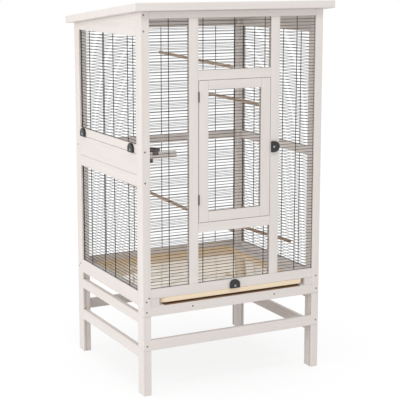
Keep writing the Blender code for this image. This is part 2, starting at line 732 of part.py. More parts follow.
def latch_outline(quarter_turns):
    """A D with its screw at the origin, its round side up, then turned clockwise by quarter turns."""
    rise = LATCH_REACH - LATCH_RADIUS
    outline = [(-LATCH_RADIUS, -LATCH_BACK), (LATCH_RADIUS, -LATCH_BACK)]
    outline += arc((0, rise), LATCH_RADIUS, 0, 180, HALF_ROUND_STEPS)
    for _ in range(quarter_turns):
        outline = [(v, -u) for u, v in outline]
    return outline


def build_latch(name, wall, u, v, quarter_turns, carrier):
    """A turn latch with its screw, shown turned clear of what it holds."""
    place = wall_place(wall, -TURN_GAP - LATCH_THICKNESS / 2)
    place = place @ Matrix.Translation((u, v, 0))
    latch = flat_shape(name, [latch_outline(quarter_turns)], LATCH_THICKNESS, place)
    link_model(latch, "latch")
    soften(latch, LATCH_EDGE)
    heart = wall_place(wall, -TURN_GAP - LATCH_THICKNESS / 2) @ Vector((u, v, 0))
    tip = wall_place(wall, LATCH_SCREW_DEPTH) @ Vector((u, v, 0))
    hole_tip = wall_place(wall, LATCH_SCREW_DEPTH + TURN_GAP) @ Vector((u, v, 0))
    screw = rod(name + "_screw", heart, tip, LATCH_SCREW_RADIUS, PIN_SIDES)
    hole = rod(name + "_hole", heart, hole_tip, LATCH_SCREW_RADIUS + JOINT_GAP, PIN_SIDES)
    boolean(latch, link_cutter(screw), "UNION")
    boolean(carrier, link_cutter(hole), "DIFFERENCE")


def build_latches(stile, bottom_rail, hatch_rail):
    """Door, tray and hatch latches. Each round side points away from the part it holds."""
    door_x = DOOR_RIGHT + LATCH_CLEAR + LATCH_BACK
    build_latch("door_latch", "front", door_x, DOOR_LATCH_HEIGHT, 1, stile)
    tray_v = SLOT_TOP + TRAY_LATCH_CLEAR + LATCH_BACK
    build_latch("tray_latch", "front", 0.0, tray_v, 0, bottom_rail)
    hatch_v = HATCH_TOP + HATCH_LATCH_CLEAR + LATCH_BACK
    front_y = FRONT_POST_BACK + HATCH_LATCH_FROM_END
    back_y = BACK_POST_FRONT - HATCH_LATCH_FROM_END
    build_latch("hatch_latch_front", "left", front_y, hatch_v, 0, hatch_rail)
    build_latch("hatch_latch_back", "left", back_y, hatch_v, 0, hatch_rail)


def build_hatch():
    """The hatch board, pulled straight out once its latches are turned, and the feeding bar behind it."""
    low = (LEFT, FRONT_POST_BACK + HATCH_END_GAP, HATCH_BOTTOM)
    timber("hatch_board", low, (LEFT + RAIL_THICKNESS, BACK_POST_FRONT - HATCH_END_GAP, HATCH_TOP))
    near = LEFT + RAIL_THICKNESS + JOINT_GAP
    side = FEEDING_BAR_Y - FEEDING_BAR_THICKNESS / 2
    base = HATCH_BOTTOM + FEEDING_BAR_ABOVE_EDGE
    high = (near + FEEDING_BAR_LENGTH, side + FEEDING_BAR_THICKNESS, base + FEEDING_BAR_HEIGHT)
    timber("feeding_bar", (near, side, base), high)


def tray_outline(inset):
    """The tray's plan with rounded corners, drawn in by an inset."""
    half = TRAY_WIDTH / 2 - inset
    front = FRONT + TRAY_FRONT_SETBACK + inset
    back = TRAY_BACK - inset
    near = TRAY_FRONT_RADIUS - inset
    far = TRAY_BACK_RADIUS - inset
    outline = arc((-half + near, front + near), near, 180, 270, CORNER_STEPS)
    outline += arc((half - near, front + near), near, 270, 360, CORNER_STEPS)
    outline += arc((half - far, back - far), far, 0, 90, CORNER_STEPS)
    outline += arc((-half + far, back - far), far, 90, 180, CORNER_STEPS)
    return outline


def bed_cheek(name, sign, height):
    """One side of the tray's bed: a runner beside the posts, wider between them."""
    beside_post = POST_INNER_X - JOINT_GAP
    beside_rail = BODY_WIDTH / 2 - RAIL_THICKNESS - JOINT_GAP
    front, back = FRONT, BACK - RAIL_THICKNESS - JOINT_GAP
    wide_front, wide_back = FRONT_POST_BACK + JOINT_GAP, BACK_POST_FRONT - JOINT_GAP
    outline = [
        (CHEEK_INNER_X, front),
        (beside_post, front),
        (beside_post, wide_front),
        (beside_rail, wide_front),
        (beside_rail, wide_back),
        (beside_post, wide_back),
        (beside_post, back),
        (CHEEK_INNER_X, back),
    ]
    place = Matrix.Translation((0, 0, SLOT_BOTTOM + JOINT_GAP + height / 2))
    return flat_shape(name, [[(sign * x, y) for x, y in outline]], height, place)


def build_tray():
    """The pull-out tray, and its bed: a thin base, a ledge along each side, and a cheek beside each."""
    top = TRAY_BOTTOM + TRAY_HEIGHT
    place = Matrix.Translation((0, 0, TRAY_BOTTOM + TRAY_HEIGHT / 2))
    tray = link_model(flat_shape("tray", [tray_outline(0.0)], TRAY_HEIGHT, place), "tray")
    depth = TRAY_HEIGHT - TRAY_FLOOR + CUT_OVERRUN
    place = Matrix.Translation((0, 0, top - (TRAY_HEIGHT - TRAY_FLOOR) + depth / 2))
    hollow = flat_shape("tray_hollow", [tray_outline(TRAY_WALL)], depth, place)
    boolean(tray, link_cutter(hollow), "DIFFERENCE")

    base = SLOT_BOTTOM + JOINT_GAP
    back = BACK - RAIL_THICKNESS - JOINT_GAP
    half = CHEEK_INNER_X + BED_LEDGE / 2
    low = (-half, FRONT + BED_SETBACK, base)
    bed = link_model(box_object("tray_bed", low, (half, back, base + BED_BASE_THICKNESS)), "bed")
    for side, sign in (("left", -1), ("right", 1)):
        xs = sorted((sign * (CHEEK_INNER_X - BED_LEDGE), sign * half))
        low = (xs[0], FRONT + RAIL_THICKNESS, base)
        ledge = box_object(f"tray_bed_ledge_{side}", low, (xs[1], back, base + BED_LEDGE_HEIGHT))
        cheek = bed_cheek(f"tray_bed_cheek_{side}", sign, SLOT_TOP - JOINT_GAP - base)
        boolean(bed, link_cutter(ledge), "UNION")
        boolean(bed, link_cutter(cheek), "UNION")


def drawn_in(point, wall_normal, run):
    """Moves a rod's end inwards along its run until its square end clears the wall it points to.

    The end reaches beyond its centre by the radius times the sine of the angle between the run
    and the wall's normal.
    """
    across = abs(run.dot(wall_normal))
    sine = math.sqrt(max(0.0, 1 - across**2))
    return point + run * (PERCH_RADIUS * sine / across)


def perch(name, start, end, start_normal=(0, 1, 0)):
    """A round rod from a point on a wall with the given normal to a point on the back wall."""
    start, end = Vector(start), Vector(end)
    run = (end - start).normalized()
    start = drawn_in(start, Vector(start_normal), run)
    end = drawn_in(end, Vector((0, 1, 0)), -run)
    link_model(rod(name, start, end, PERCH_RADIUS, PERCH_SIDES), "perch")


def build_perches():
    """Three perches that rise from the front wall to the back, and one across the right back corner."""
    mesh_front = FRONT + MESH_FACE_DEPTH
    rail_front = FRONT + INNER_FACE_DEPTH
    back = BACK - MESH_FACE_DEPTH
    side = RIGHT - MESH_FACE_DEPTH
    high = HEADER_TOP + HIGH_PERCH_ABOVE_HEADER
    middle = FRONT_HEIGHT - MIDDLE_PERCH_BELOW_ROOF
    low = SILL_BOTTOM - LOW_PERCH_BELOW_SILL
    high_end = (HIGH_PERCH_X, back, high + HIGH_PERCH_RISE)
    perch("high_perch", (HIGH_PERCH_X, mesh_front, high), high_end)
    middle_end = (MIDDLE_PERCH_X, back, middle + MIDDLE_PERCH_RISE)
    perch("middle_perch", (MIDDLE_PERCH_X, rail_front, middle), middle_end)
    low_end = (LOW_PERCH_BACK_X, back, low + LOW_PERCH_RISE)
    perch("low_perch", (LOW_PERCH_FRONT_X, mesh_front, low), low_end)
    corner_side = (side, CORNER_PERCH_SIDE_Y, CORNER_PERCH_SIDE_HEIGHT)
    corner_back = (CORNER_PERCH_BACK_X, back, CORNER_PERCH_BACK_HEIGHT)
    perch("corner_perch", corner_side, corner_back, start_normal=(1, 0, 0))


def main():
    clear_scene()
    posts = build_posts()
    build_roof()
    stiles, bottom_rail = build_front(posts)
    hatch_rail = build_walls()
    build_door()
    build_hatch()
    build_latches(stiles["right"], bottom_rail, hatch_rail)
    build_tray()
    build_perches()


main()
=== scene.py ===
"""Visual model of a wooden bird cage: finishes, round wires, latches, tray, perches and screws."""

import json
import math

import bpy
import numpy as np
from mathutils import Matrix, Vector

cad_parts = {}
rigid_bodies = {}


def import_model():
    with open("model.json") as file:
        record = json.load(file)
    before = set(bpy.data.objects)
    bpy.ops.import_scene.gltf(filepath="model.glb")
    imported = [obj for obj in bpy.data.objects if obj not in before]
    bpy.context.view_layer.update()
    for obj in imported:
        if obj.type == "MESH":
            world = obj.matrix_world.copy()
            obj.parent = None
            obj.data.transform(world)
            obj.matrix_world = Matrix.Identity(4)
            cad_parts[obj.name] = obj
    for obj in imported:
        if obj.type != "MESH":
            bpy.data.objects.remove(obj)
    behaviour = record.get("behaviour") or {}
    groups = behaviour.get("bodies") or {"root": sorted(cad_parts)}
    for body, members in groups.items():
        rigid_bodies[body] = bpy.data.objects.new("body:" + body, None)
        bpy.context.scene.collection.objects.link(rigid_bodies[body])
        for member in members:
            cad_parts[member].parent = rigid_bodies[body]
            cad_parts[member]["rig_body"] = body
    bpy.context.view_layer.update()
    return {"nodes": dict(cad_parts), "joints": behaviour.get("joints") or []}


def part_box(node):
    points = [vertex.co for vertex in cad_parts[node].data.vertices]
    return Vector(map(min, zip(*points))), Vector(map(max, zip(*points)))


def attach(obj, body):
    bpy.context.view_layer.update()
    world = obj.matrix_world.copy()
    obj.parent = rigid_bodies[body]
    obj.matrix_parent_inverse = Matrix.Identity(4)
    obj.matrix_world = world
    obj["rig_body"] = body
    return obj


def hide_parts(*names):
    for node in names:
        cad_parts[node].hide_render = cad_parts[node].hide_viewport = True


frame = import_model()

bl_info = {
    "name": "Bird Cage",
    "version": (1, 0, 0),
    "blender": (4, 5, 0),
    "location": "3D View > Sidebar > Bird Cage",
    "description": "Dresses the solids of a wooden bird cage with wires, fittings and finishes",
    "category": "Object",
}

# Sizes shared with the solids, in metres
PANEL_SEAT = 0.0045
WIRE_PITCH = 0.0125
WALL_FACES = {"front": -0.326, "back": 0.354, "left": -0.400, "right": 0.400}
LATCH_FOOT = 0.010
LATCH_GAP = 0.0005
LEDGE_INNER_X = 0.3105

# Angles in degrees above which an edge stays sharp
WIRE_SHARP = 60.0
FITTING_SHARP = 35.0
ROUND_SHARP = 50.0

# Timbers: the most that one is darker than the wash, and the step from timber to timber
TONE_SPREAD = 0.035
TONE_STEP = 0.618

# Turn latches, and the small edge round a dish or a recess
LATCH_SIDES = 120
LATCH_BACK_EDGE = 0.0006
DISH_EDGE_HEIGHT = 0.0003
DISH_EDGE_STEPS = (0.0004, 0.0, -0.0002)

# Screw heads: the dome's share of a quarter ellipse, and the cross recess as shares of the head
SCREW_DOME = 0.72
RECESS_SHARE = 0.52
RECESS_STEPS = (1.0, 0.9, 0.45)
RECESS_DEPTH = 1.6

# Timber screws: rise over the wood, turn in radians from one to the next, and sides
TIMBER_SCREW_RISE = 0.0004
TIMBER_SCREW_TURN = 0.7
TIMBER_SCREW_SIDES = 40

# Latch screws: rise as a share of the dish's depth, and sides
LATCH_SCREW_RISE = 0.95
LATCH_SCREW_SIDES = 48

# Wires: how far the uprights sink into the cross wires, and the sides of the round wires
WIRE_WELD = 0.00005
CROSS_WIRE_SIDES = 8
UPRIGHT_SIDES = 12

# Tray
TRAY_CORNER_STEPS = 10
TRAY_LEAST_CORNER = 0.002

# Perches, with the signs of their run from front to back: to the left, backwards and upwards
PERCH_LEAN = (-1.0, 1.0, 1.0)
PERCH_SIDES = 32
PERCH_GRAIN_STRENGTH = 0.8
PERCH_ROUGHNESS = 0.62
PERCH_FIRST_SEED = 50

# Feeding cup, set by the bar that it hangs on
CUP_FROM_HATCH = 0.1097
CUP_ABOVE_BAR = 0.0065
CUP_HEIGHT = 0.0545
CUP_BOWL_DEPTH = 0.0355
CUP_SIDES = 48
CUP_HOOK_WIDTH = 0.024
CUP_HOOK_DROP = 0.010
CUP_HOOK_BACK_DROP = 0.016
CUP_HOOK_GAP = 0.0003
CUP_FOOT_EDGE = 0.001

# Camera: turns in degrees, shift as a share of the width, sensor in millimetres
CAMERA_PLACE = (-2.2216, -4.3339, 1.6447)
CAMERA_DOWN = 9.929
CAMERA_TURN = -27.283
CAMERA_SHIFT = -0.06
SENSOR_WIDTH = 36.0

# Lamps
KEY_PLACE, KEY_SIZE = (-0.80, -2.50, 4.30), 0.9
SIDE_PLACE, SIDE_SIZE = (-3.20, -0.20, 1.60), 2.4
LAMP_AIM = (0.0, 0.0, 0.75)

# Floor: half its side, its drop under the feet, and the distances over which its shading fades
FLOOR_HALF = 30.0
FLOOR_DROP = 0.0002
SHADOW_NEAR, SHADOW_FAR = 0.3, 1.8

# Wire panels: wall, and the places of the uprights along it (None stands for the middle)
PANELS = {
    "front_left_grille": ("front", (None,)),
    "front_right_grille": ("front", (None,)),
    "above_door_grille": ("front", (-0.137, 0.0, 0.137)),
    "below_door_grille": ("front", (-0.137, 0.0, 0.137)),
    "door_grille": ("front", (None,)),
    "left_upper_grille": ("left", (-0.178, -0.038, 0.066, 0.206)),
    "left_lower_grille": ("left", (-0.178, -0.038, 0.066, 0.206)),
    "right_upper_grille": ("right", (-0.178, -0.038, 0.066, 0.206)),
    "right_lower_grille": ("right", (-0.178, -0.038, 0.066, 0.206)),
    "back_upper_grille": ("back", (-0.270, -0.135, 0.0, 0.135, 0.270)),
    "back_lower_grille": ("back", (-0.270, -0.135, 0.0, 0.135, 0.270)),
}

# Direction of the grain in each timber
GRAIN = {
    "Z": (
        "post_front_left",
        "post_front_right",
        "post_back_left",
        "post_back_right",
        "front_stile_left",
        "front_stile_right",
        "door_stile_hinge_side",
        "door_stile_latch_side",
    ),
    "X": (
        "roof_board",
        "front_top_rail",
        "front_bottom_rail",
        "door_header",
        "door_sill",
        "front_lower_rail",
        "front_stretcher",
        "door_top_rail",
        "door_bottom_rail",
        "back_top_rail",
        "back_mid_rail",
        "back_bottom_rail",
        "back_stretcher",
        "feeding_bar",
    ),
    "Y": (
        "left_top_board",
        "left_bottom_rail",
        "left_upper_stretcher",
        "left_lower_stretcher",
        "hatch_lower_rail",
        "hatch_upper_rail",
        "hatch_board",
        "right_top_board",
        "right_mid_rail",
        "right_bottom_rail",
        "right_upper_stretcher",
        "right_lower_stretcher",
    ),
}

# Timber screws: wall, place along it and height
SCREWS = (
    ("front", -0.390, 1.477),
    ("front", -0.390, 1.417),
    ("front", -0.388, 0.964),
    ("front", -0.388, 0.845),
    ("front", -0.375, 0.393),
    ("front", -0.386, 0.379),
    ("front", -0.385, 0.337),
    ("front", -0.384, 0.201),
    ("front", 0.386, 0.393),
    ("front", 0.388, 0.339),
    ("front", 0.388, 0.203),
    ("front", -0.186, 0.339),
    ("front", 0.186, 0.339),
    ("left", 0.324, 0.3915),
    ("left", 0.341, 0.377),
    ("left", 0.329, 0.911),
    ("back", -0.384, 1.400),
    ("back", 0.384, 1.400),
    ("back", -0.384, 0.907),
    ("back", 0.384, 0.907),
    ("back", -0.384, 0.385),
    ("back", 0.384, 0.385),
    ("back", -0.384, 0.203),
    ("back", 0.384, 0.203),
    ("right", 0.329, 0.907),
    ("right", 0.329, 0.385),
)

# Turn latches: wall, and quarter turns clockwise from a D whose round end points up
LATCHES = {
    "door_latch": ("front", 1),
    "tray_latch": ("front", 0),
    "hatch_latch_front": ("left", 0),
    "hatch_latch_back": ("left", 0),
}

# Perches, each with the share of dark heartwood in it
PERCHES = {"high_perch": 0.15, "middle_perch": 0.45, "low_perch": 0.45, "corner_perch": 0.75}

HINGE_LEAVES = (
    "upper_hinge_frame_leaf",
    "upper_hinge_door_leaf",
    "lower_hinge_frame_leaf",
    "lower_hinge_door_leaf",
)


# Sizes and colours


def length(name, description, default):
    return bpy.props.FloatProperty(
        name=name,
        description=description,
        default=default,
        min=0.0,
        precision=4,
        unit="LENGTH",
        subtype="DISTANCE",
    )


def colour(name, description, default):
    return bpy.props.FloatVectorProperty(
        name=name,
        description=description,
        default=default,
        size=3,
        min=0.0,
        max=1.0,
        subtype="COLOR",
    )


def share(name, description, default):
    return bpy.props.FloatProperty(
        name=name,
        description=description,
        default=default,
        min=0.0,
        max=1.0,
        subtype="FACTOR",
    )


class CageTimber(bpy.types.PropertyGroup):
    wash: colour("White Wash", "Colour of the washed timber", (0.850, 0.800, 0.772))
    grain: colour("Grain", "Colour of the grain that shows through the wash", (0.735, 0.655, 0.595))
    strength: share("Grain Strength", "How strongly the grain shows", 0.50)
    roughness: share("Roughness", "Roughness of the washed timber", 0.55)
    screw_radius: length("Screw Head Radius", "Radius of a timber screw's head", 0.0036)


class CageWires(bpy.types.PropertyGroup):
    cross_radius: length("Cross Wire Radius", "Radius of the cross wires", 0.0010)
    upright_radius: length("Upright Radius", "Radius of the uprights", 0.0015)
    edge_radius: length("Edge Wire Radius", "Radius of the hidden edge wires", 0.0012)
    coat: colour("Coat", "Colour of the wires' coat", (0.006, 0.006, 0.007))


class CageFittings(bpy.types.PropertyGroup):
    moulding: colour("Moulding", "Colour of the turn latches", (0.014, 0.015, 0.017))
    edge: length("Latch Edge", "Radius of a latch's rounded front edge", 0.0022)
    corner: length("Latch Corner", "Radius of a latch's two corners", 0.0030)
    dish_radius: length("Dish Radius", "Radius of the dish round a latch's screw", 0.0062)
    dish_depth: length("Dish Depth", "Depth of the dish round a latch's screw", 0.0012)
    screw_radius: length("Screw Radius", "Radius of a latch's screw head", 0.0046)
    steel: colour("Latch Screw Steel", "Colour of the latches' screws", (0.62, 0.60, 0.57))
    screw_steel: colour("Timber Screw Steel", "Colour of the timber screws", (0.20, 0.19, 0.18))
    hinge_steel: colour("Hinge Steel", "Colour of the door's hinges", (0.15, 0.14, 0.13))


class CageTray(bpy.types.PropertyGroup):
    plastic: colour("Plastic", "Colour of the tray", (0.93, 0.745, 0.515))
    wall: length("Wall", "Thickness of the tray's wall", 0.0025)
    floor: length("Floor", "Thickness of the tray's floor", 0.0030)
    bottom_edge: length("Bottom Edge", "Radius of the tray's outer bottom edge", 0.0060)
    front_corner: length("Front Corner", "Radius of the tray's front corners", 0.030)
    back_corner: length("Back Corner", "Radius of the tray's back corners", 0.015)
    board: colour("Bed Board", "Colour of the board under the tray", (0.19, 0.105, 0.058))


class CageInside(bpy.types.PropertyGroup):
    perch_radius: length("Perch Radius", "Radius of the perches", 0.0065)
    perch: colour("Perch", "Colour of the perches' pale wood", (0.66, 0.53, 0.42))
    heartwood: colour("Heartwood", "Colour of the perches' dark wood", (0.33, 0.22, 0.155))
    end_round: length("Perch End", "Radius of a perch's rounded ends", 0.0012)
    cup: colour("Cup", "Colour of the feeding cup", (0.120, 0.100, 0.095))
    cup_radius: length("Cup Radius", "Radius of the feeding cup's rim", 0.045)
    cup_foot: length("Cup Foot", "Radius of the feeding cup's foot", 0.016)
    cup_wall: length("Cup Wall", "Thickness of the feeding cup's wall", 0.0022)


class CageStudio(bpy.types.PropertyGroup):
    ambient: bpy.props.FloatProperty(
        name="Ambient", description="Strength of the light from all round", default=0.78, min=0.0
    )
    key: bpy.props.FloatProperty(
        name="Key Light",
        description="Power of the light from high above the front",
        default=35.0,
        min=0.0,
        unit="POWER",
    )
    side: bpy.props.FloatProperty(
        name="Side Light",
        description="Power of the broad light from the left",
        default=27.0,
        min=0.0,
        unit="POWER",
    )
    floor: colour("Floor", "Colour of the floor", (0.86, 0.86, 0.86))
    shadow: share("Shadow", "Share of the floor's own shading that is seen beside the cage", 0.20)
    white: bpy.props.FloatProperty(
        name="Floor White",
        description="Strength of the white that the floor is seen in",
        default=1.04,
        min=0.0,
    )
    lens: bpy.props.FloatProperty(
        name="Focal Length", description="The camera's focal length in millimetres", default=106.39
    )


# Surfaces


def grid_faces(rows, columns):
    """Quads between neighbouring rings of a grid that closes round its columns."""
    row, column = np.meshgrid(np.arange(rows - 1), np.arange(columns), indexing="ij")
    after = (column + 1) % columns
    quads = [row * columns + column, row * columns + after]
    quads += [(row + 1) * columns + after, (row + 1) * columns + column]
    return np.stack(quads, axis=-1).reshape(-1, 4)


def add_piece(name, grids, body, material, sharp):
    """Puts closed grids of rings, each (copies, rows, columns, 3), into one mesh.

    Each copy's first and last rings are closed with one flat face.
    """
    points, faces, offset = [], [], 0
    for grid in grids:
        copies, rows, columns = grid.shape[:3]
        side = grid_faces(rows, columns)
        starts = offset + np.arange(copies)[:, None, None] * rows * columns
        faces += (side[None] + starts).reshape(-1, 4).tolist()
        first = np.arange(columns)[::-1][None] + starts[:, 0]
        last = np.arange(columns)[None] + (rows - 1) * columns + starts[:, 0]
        faces += first.tolist() + last.tolist()
        points.append(grid.reshape(-1, 3))
        offset += copies * rows * columns
    mesh = bpy.data.meshes.new(name)
    mesh.from_pydata(np.concatenate(points).tolist(), [], faces)
    mesh.validate()
    mesh.shade_smooth()
    mesh.set_sharp_from_angle(angle=math.radians(sharp))
    piece = bpy.data.objects.new(name, mesh)
    bpy.context.scene.collection.objects.link(piece)
    mesh.materials.append(material)
    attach(piece, body)
    return piece


def rods(starts, ends, radius, sides):
    """Round rods: a ring is the end point plus radius times (cosine, sine) across the rod."""
    starts, ends = np.atleast_2d(starts).astype(float), np.atleast_2d(ends).astype(float)
    along = ends - starts
    along /= np.linalg.norm(along, axis=1, keepdims=True)
    helper = np.where(np.abs(along[:, 2:3]) > 0.9, [[1.0, 0.0, 0.0]], [[0.0, 0.0, 1.0]])
    first = np.cross(helper, along)
    first /= np.linalg.norm(first, axis=1, keepdims=True)
    second = np.cross(along, first)
    angle = np.linspace(0.0, 2 * np.pi, sides, endpoint=False)
    ring = np.cos(angle)[None, :, None] * first[:, None]
    ring = ring + np.sin(angle)[None, :, None] * second[:, None]
    ends_pair = np.stack([starts, ends], axis=1)
    return ends_pair[:, :, None] + radius * ring[:, None]


def turned(start, end, radius, edge, sides):
    """A rod whose ends are rounded: the radius falls by a quarter circle over the last stretch."""
    start, end = np.asarray(start, float), np.asarray(end, float)
    total = np.linalg.norm(end - start)
    bend = np.linspace(0.0, np.pi / 2, 5)
    run_in = edge * (1 - np.cos(bend))
    swell = radius - edge + edge * np.sin(bend)
    places = np.concatenate([run_in, total - run_in[::-1]])
    radii = np.concatenate([swell, swell[::-1]])
    ring = rods(start, end, 1.0, sides)[0, 0] - start
    along = (end - start) / total
    grid = start + places[:, None, None] * along + radii[:, None, None] * ring[None]
    return grid[None]


def rings(radii, heights, place):
    """Rings about an axis: points (radius times cosine, radius times sine, height), then placed."""
    count = radii.shape[-1]
    angle = np.linspace(0.0, 2 * np.pi, count, endpoint=False)
    levels = np.broadcast_to(heights[:, None], radii.shape)
    local = np.stack([radii * np.cos(angle), radii * np.sin(angle), levels], axis=-1)
    turn = np.array(place.to_3x3())
    return (local @ turn.T + np.array(place.translation))[None]


def wall_turn(wall):
    """Turns a drawing of (along the wall, height, outwards) into the frame's axes."""
    if wall == "front":
        return Matrix(((1, 0, 0), (0, 0, -1), (0, 1, 0)))
    if wall == "back":
        return Matrix(((-1, 0, 0), (0, 0, 1), (0, 1, 0)))
    if wall == "left":
        return Matrix(((0, 0, -1), (-1, 0, 0), (0, 1, 0)))
    return Matrix(((0, 0, 1), (1, 0, 0), (0, 1, 0)))


# Finishes


class Finish:
    """A material with short calls for its nodes."""

    def __init__(self, name):
        self.material = bpy.data.materials.new(name)
        self.material.use_nodes = True
        self.nodes = self.material.node_tree.nodes
        self.links = self.material.node_tree.links
        self.shader = self.nodes["Principled BSDF"]

    def node(self, kind, **values):
        node = self.nodes.new(kind)
        for key, value in values.items():
            setattr(node, key, value)
        return node

    def join(self, source, output, target, entry):
        self.links.new(source.outputs[output], target.inputs[entry])

    def coordinates(self, scale=(1.0, 1.0, 1.0), shift=(0.0, 0.0, 0.0), turn=(0.0, 0.0, 0.0)):
        """Object coordinates, moved, turned back and then scaled."""
        place = self.node("ShaderNodeTexCoord")
        mapping = self.node("ShaderNodeMapping", vector_type="TEXTURE")
        mapping.inputs["Location"].default_value = shift
        mapping.inputs["Rotation"].default_value = turn
        mapping.inputs["Scale"].default_value = tuple(1.0 / part for part in scale)
        self.join(place, "Object", mapping, "Vector")
        return mapping

    def noise(self, mapping, scale, detail, roughness=0.5, distortion=0.0):
        noise = self.node("ShaderNodeTexNoise")
        noise.inputs["Scale"].default_value = scale
        noise.inputs["Detail"].default_value = detail
        noise.inputs["Roughness"].default_value = roughness
        noise.inputs["Distortion"].default_value = distortion
        self.join(mapping, "Vector", noise, "Vector")
        return noise

    def spread(self, source, output, low, high, to_low=0.0, to_high=1.0):
        spread = self.node("ShaderNodeMapRange")
        spread.inputs["From Min"].default_value = low
        spread.inputs["From Max"].default_value = high
        spread.inputs["To Min"].default_value = to_low
        spread.inputs["To Max"].default_value = to_high
        self.join(source, output, spread, "Value")
        return spread

    def mix(self, factor, output, first, second):
        mix = self.node("ShaderNodeMix", data_type="RGBA")
        self.join(factor, output, mix, "Factor")
        for entry, value in ((6, first), (7, second)):
            if isinstance(value, tuple):
                mix.inputs[entry].default_value = (*value, 1.0)
            else:
                self.links.new(value, mix.inputs[entry])
        return mix

    def sum(self, first, first_output, second, second_output, second_share):
        total = self.node("ShaderNodeMath", operation="MULTIPLY_ADD")
        self.join(second, second_output, total, 0)
        total.inputs[1].default_value = second_share
        self.join(first, first_output, total, 2)
        return total

    def bump(self, source, output, strength, distance):
        bump = self.node("ShaderNodeBump")
        bump.inputs["Strength"].default_value = strength
        bump.inputs["Distance"].default_value = distance
        self.join(source, output, bump, "Height")
        self.join(bump, "Normal", self.shader, "Normal")


def across(axis, along, over):
    """Mapping scale that stretches a pattern along one axis."""
    return tuple(along if name == axis else over for name in "XYZ")


def wood_finish(name, axis, light, dark, strength, roughness, seed, turn=(0.0, 0.0, 0.0)):
    """Washed timber: fibres stretched along the grain, wide growth bands, and slow cloudy wear."""
    finish = Finish(name)
    shift = (seed * 1.37 % 7, seed * 2.11 % 5, seed * 3.73 % 3)
    along_fibres = finish.coordinates(across(axis, 4.0, 150.0), shift, turn)
    fibres = finish.noise(along_fibres, 1.0, 6.0, 0.65, 0.2)
    along_bands = finish.coordinates(across(axis, 1.6, 34.0), shift, turn)
    bands = finish.noise(along_bands, 1.0, 3.0, 0.55, 0.8)
    wear = finish.noise(finish.coordinates((5.0, 5.0, 5.0), shift), 1.0, 3.0)
    pattern = finish.sum(bands, "Fac", fibres, "Fac", 0.6)
    amount = finish.spread(pattern, "Value", 0.62, 1.08, 0.0, strength)
    mixed = finish.mix(amount, "Result", light, dark)
    cloud = finish.spread(wear, "Fac", 0.35, 0.75, 0.0, 0.28)
    faded = tuple(0.5 * (a + b) for a, b in zip(light, dark))
    coloured = finish.mix(cloud, "Result", mixed.outputs[2], faded)
    finish.links.new(coloured.outputs[2], finish.shader.inputs["Base Color"])
    sheen = finish.spread(fibres, "Fac", 0.3, 0.7, roughness - 0.08, roughness + 0.10)
    finish.join(sheen, "Result", finish.shader, "Roughness")
    finish.bump(pattern, "Value", 0.30, 0.0004)
    return finish.material


def wire_finish(tint):
    """Black coated wire: small lumps in the coat, and gloss that varies along it."""
    finish = Finish("wire_coat")
    lumps = finish.noise(finish.coordinates(), 420.0, 3.0)
    tinted = finish.mix(lumps, "Fac", tint, tuple(2.2 * part for part in tint))
    finish.links.new(tinted.outputs[2], finish.shader.inputs["Base Color"])
    gloss = finish.spread(lumps, "Fac", 0.3, 0.7, 0.48, 0.62)
    finish.join(gloss, "Result", finish.shader, "Roughness")
    finish.shader.inputs["Specular IOR Level"].default_value = 0.25
    finish.bump(lumps, "Fac", 0.25, 0.0002)
    return finish.material


def moulded_finish(name, tint, low, high):
    """Moulded plastic: a fine even texture, and faint rubbed patches."""
    finish = Finish(name)
    grain = finish.noise(finish.coordinates(), 1500.0, 2.0)
    patches = finish.noise(finish.coordinates(), 45.0, 4.0)
    tinted = finish.mix(patches, "Fac", tint, tuple(min(1.0, 1.9 * part) for part in tint))
    finish.links.new(tinted.outputs[2], finish.shader.inputs["Base Color"])
    gloss = finish.spread(patches, "Fac", 0.3, 0.7, low, high)
    finish.join(gloss, "Result", finish.shader, "Roughness")
    finish.bump(grain, "Fac", 0.18, 0.00015)
    return finish.material


def steel_finish(name, tint, low, high):
    """Plated steel: fine turning marks and dull patches."""
    finish = Finish(name)
    marks = finish.noise(finish.coordinates(), 900.0, 4.0)
    patches = finish.noise(finish.coordinates(), 160.0, 3.0)
    tinted = finish.mix(patches, "Fac", tint, tuple(0.62 * part for part in tint))
    finish.links.new(tinted.outputs[2], finish.shader.inputs["Base Color"])
    finish.shader.inputs["Metallic"].default_value = 1.0
    gloss = finish.spread(marks, "Fac", 0.3, 0.7, low, high)
    finish.join(gloss, "Result", finish.shader, "Roughness")
    finish.bump(marks, "Fac", 0.15, 0.0001)
    return finish.material


def tray_finish(tint):
    """Glossy cream plastic: a clear skin over the colour, a faint ripple and dusty patches."""
    finish = Finish("tray_plastic")
    ripple = finish.noise(finish.coordinates(), 60.0, 2.0)
    dust = finish.noise(finish.coordinates(), 9.0, 5.0, 0.6)
    amount = finish.spread(dust, "Fac", 0.35, 0.75, 0.0, 0.25)
    tinted = finish.mix(amount, "Result", tint, tuple(0.86 * part for part in tint))
    finish.links.new(tinted.outputs[2], finish.shader.inputs["Base Color"])
    gloss = finish.spread(dust, "Fac", 0.3, 0.7, 0.06, 0.14)
    finish.join(gloss, "Result", finish.shader, "Roughness")
    finish.shader.inputs["Coat Weight"].default_value = 1.0
    finish.shader.inputs["Coat Roughness"].default_value = 0.04
    finish.shader.inputs["Coat IOR"].default_value = 1.7
    finish.bump(ripple, "Fac", 0.05, 0.0002)
    return finish.material


